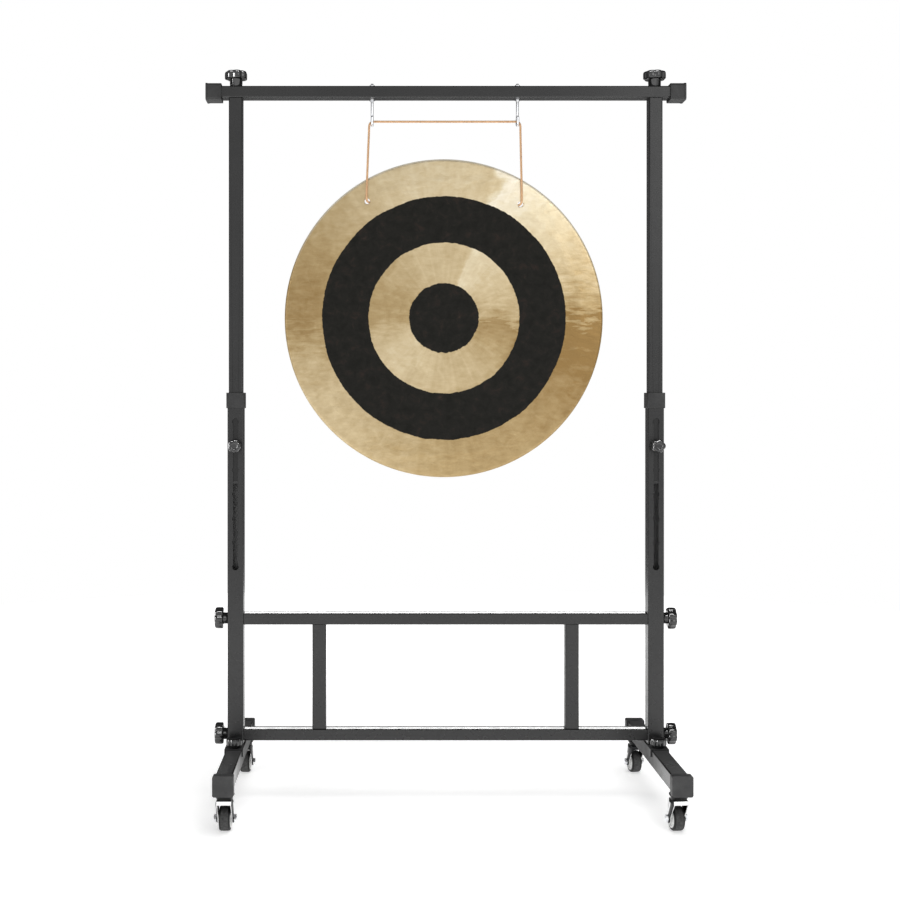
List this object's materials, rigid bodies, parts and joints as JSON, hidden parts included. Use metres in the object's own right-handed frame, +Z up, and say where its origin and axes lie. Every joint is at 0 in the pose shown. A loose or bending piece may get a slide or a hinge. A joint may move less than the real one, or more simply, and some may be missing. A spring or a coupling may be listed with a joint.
{
  "type": "tam tam gong on wheeled stand",
  "caption": "Flat bronze gong with blackened rings, hung by a cord from hooks on a wheeled frame of square tubes with telescopic posts.",
  "frame": {"origin": "on the floor, under the middle of the stand's footprint, 13 mm in front of the posts", "axes": "+X to the player's right along the crossbeam, +Y away from the player to the back of the gong, +Z up"},
  "size_m": [1.05, 0.5217, 1.599],
  "materials": {
    "powder_coat": "satin charcoal powder coat",
    "matte_black_plastic": "matte moulded plastic",
    "gloss_black_plastic": "glossy moulded plastic",
    "zinc_plate": "bright zinc plated steel",
    "chrome_plate": "polished chrome plate",
    "caster_housing": "black painted swivel housing",
    "wheel_hub": "pale grey moulded wheel centre",
    "tread_rubber": "satin black rubber tread",
    "hammered_bronze": "lathe-brushed hammered bronze with two blackened zones",
    "cord_fibre": "twisted tan cord"
  },
  "bodies": {
    "root": {"foot_tube_left": "powder_coat", "foot_tube_right": "powder_coat", "foot_end_caps": "matte_black_plastic", "foot_saddle_left": "powder_coat", "foot_saddle_right": "powder_coat", "foot_weld_nuts": "zinc_plate", "lower_post_left": "powder_coat", "lower_post_right": "powder_coat", "post_collar_left": "matte_black_plastic", "post_collar_right": "matte_black_plastic", "upper_rail": "powder_coat", "lower_rail": "powder_coat", "rail_strut_left": "powder_coat", "rail_strut_right": "powder_coat", "rail_end_inserts": "matte_black_plastic", "caster_stems": "caster_housing", "caster_stem_nuts": "zinc_plate"},
    "upper_frame": {"upper_post_left": "powder_coat", "upper_post_right": "powder_coat", "post_guide_bushes": "matte_black_plastic", "post_top_plugs": "matte_black_plastic", "slot_clamp_nuts": "zinc_plate", "crossbeam": "powder_coat", "beam_cap_left": "matte_black_plastic", "beam_cap_right": "matte_black_plastic", "hook_bolt_left": "zinc_plate", "hook_bolt_right": "zinc_plate", "hook_nuts": "zinc_plate"},
    "gong": {"gong_disc": "hammered_bronze", "hanging_cord": "cord_fibre", "cord_knot": "cord_fibre"},
    "top_knob_left_body": {"top_knob_left": "gloss_black_plastic"},
    "slot_knob_left_body": {"slot_knob_left": "gloss_black_plastic"},
    "side_knob_upper_left_body": {"side_knob_upper_left": "gloss_black_plastic"},
    "side_knob_lower_left_body": {"side_knob_lower_left": "gloss_black_plastic"},
    "foot_knob_left_body": {"foot_knob_left": "gloss_black_plastic"},
    "top_knob_right_body": {"top_knob_right": "gloss_black_plastic"},
    "slot_knob_right_body": {"slot_knob_right": "gloss_black_plastic"},
    "side_knob_upper_right_body": {"side_knob_upper_right": "gloss_black_plastic"},
    "side_knob_lower_right_body": {"side_knob_lower_right": "gloss_black_plastic"},
    "foot_knob_right_body": {"foot_knob_right": "gloss_black_plastic"},
    "caster_front_left_swivel": {"caster_fork_front_left": "chrome_plate", "caster_axle_front_left": "zinc_plate"},
    "caster_front_left_wheel": {"caster_hub_front_left": "wheel_hub", "caster_tyre_front_left": "tread_rubber"},
    "caster_front_right_swivel": {"caster_fork_front_right": "chrome_plate", "caster_axle_front_right": "zinc_plate"},
    "caster_front_right_wheel": {"caster_hub_front_right": "wheel_hub", "caster_tyre_front_right": "tread_rubber"},
    "caster_rear_left_swivel": {"caster_fork_rear_left": "chrome_plate", "caster_axle_rear_left": "zinc_plate"},
    "caster_rear_left_wheel": {"caster_hub_rear_left": "wheel_hub", "caster_tyre_rear_left": "tread_rubber"},
    "caster_rear_right_swivel": {"caster_fork_rear_right": "chrome_plate", "caster_axle_rear_right": "zinc_plate"},
    "caster_rear_right_wheel": {"caster_hub_rear_right": "wheel_hub", "caster_tyre_rear_right": "tread_rubber"}
  },
  "joints": [
    {"name": "height_slide", "type": "slide", "parent": "root", "child": "upper_frame", "axis": [0, 0, 1], "range_m": [-0.265, 0.053]},
    {"name": "gong_swing", "type": "hinge", "parent": "upper_frame", "child": "gong", "pos_m": [0, 0.013, 1.489], "axis": [1, 0, 0], "range_deg": [-25, 25]},
    {"name": "top_knob_left_turn", "type": "hinge", "parent": "upper_frame", "child": "top_knob_left_body", "pos_m": [-0.46, 0.013, 1.564], "axis": [0, 0, 1], "range_deg": [0, 900]},
    {"name": "slot_knob_left_turn", "type": "hinge", "parent": "upper_frame", "child": "slot_knob_left_body", "pos_m": [-0.46, -0.0045, 0.777], "axis": [0, -1, 0], "range_deg": [0, 900]},
    {"name": "side_knob_upper_left_turn", "type": "hinge", "parent": "root", "child": "side_knob_upper_left_body", "pos_m": [-0.4775, 0.013, 0.3975], "axis": [-1, 0, 0], "range_deg": [0, 900]},
    {"name": "side_knob_lower_left_turn", "type": "hinge", "parent": "root", "child": "side_knob_lower_left_body", "pos_m": [-0.4775, 0.013, 0.144], "axis": [-1, 0, 0], "range_deg": [0, 900]},
    {"name": "foot_knob_left_turn", "type": "hinge", "parent": "root", "child": "foot_knob_left_body", "pos_m": [-0.46, -0.028, 0.1225], "axis": [0, 0, 1], "range_deg": [0, 900]},
    {"name": "top_knob_right_turn", "type": "hinge", "parent": "upper_frame", "child": "top_knob_right_body", "pos_m": [0.46, 0.013, 1.564], "axis": [0, 0, 1], "range_deg": [0, 900]},
    {"name": "slot_knob_right_turn", "type": "hinge", "parent": "upper_frame", "child": "slot_knob_right_body", "pos_m": [0.46, -0.0045, 0.777], "axis": [0, -1, 0], "range_deg": [0, 900]},
    {"name": "side_knob_upper_right_turn", "type": "hinge", "parent": "root", "child": "side_knob_upper_right_body", "pos_m": [0.4775, 0.013, 0.3975], "axis": [1, 0, 0], "range_deg": [0, 900]},
    {"name": "side_knob_lower_right_turn", "type": "hinge", "parent": "root", "child": "side_knob_lower_right_body", "pos_m": [0.4775, 0.013, 0.144], "axis": [1, 0, 0], "range_deg": [0, 900]},
    {"name": "foot_knob_right_turn", "type": "hinge", "parent": "root", "child": "foot_knob_right_body", "pos_m": [0.46, -0.028, 0.1225], "axis": [0, 0, 1], "range_deg": [0, 900]},
    {"name": "caster_front_left_turn", "type": "hinge", "parent": "root", "child": "caster_front_left_swivel", "pos_m": [-0.46, -0.227, 0.067], "axis": [0, 0, 1], "continuous": true},
    {"name": "caster_front_left_roll", "type": "hinge", "parent": "caster_front_left_swivel", "child": "caster_front_left_wheel", "pos_m": [-0.46, -0.209, 0.025], "axis": [-1, 0, 0], "continuous": true},
    {"name": "caster_front_right_turn", "type": "hinge", "parent": "root", "child": "caster_front_right_swivel", "pos_m": [0.46, -0.227, 0.067], "axis": [0, 0, 1], "continuous": true},
    {"name": "caster_front_right_roll", "type": "hinge", "parent": "caster_front_right_swivel", "child": "caster_front_right_wheel", "pos_m": [0.45812, -0.2091, 0.025], "axis": [-0.9945, -0.1045, 0], "continuous": true},
    {"name": "caster_rear_left_turn", "type": "hinge", "parent": "root", "child": "caster_rear_left_swivel", "pos_m": [-0.46, 0.217, 0.067], "axis": [0, 0, 1], "continuous": true},
    {"name": "caster_rear_left_roll", "type": "hinge", "parent": "caster_rear_left_swivel", "child": "caster_rear_left_wheel", "pos_m": [-0.45937, 0.23499, 0.025], "axis": [-0.9994, 0.0349, 0], "continuous": true},
    {"name": "caster_rear_right_turn", "type": "hinge", "parent": "root", "child": "caster_rear_right_swivel", "pos_m": [0.46, 0.217, 0.067], "axis": [0, 0, 1], "continuous": true},
    {"name": "caster_rear_right_roll", "type": "hinge", "parent": "caster_rear_right_swivel", "child": "caster_rear_right_wheel", "pos_m": [0.45749, 0.23483, 0.025], "axis": [-0.9903, -0.1392, 0], "continuous": true}
  ]
}
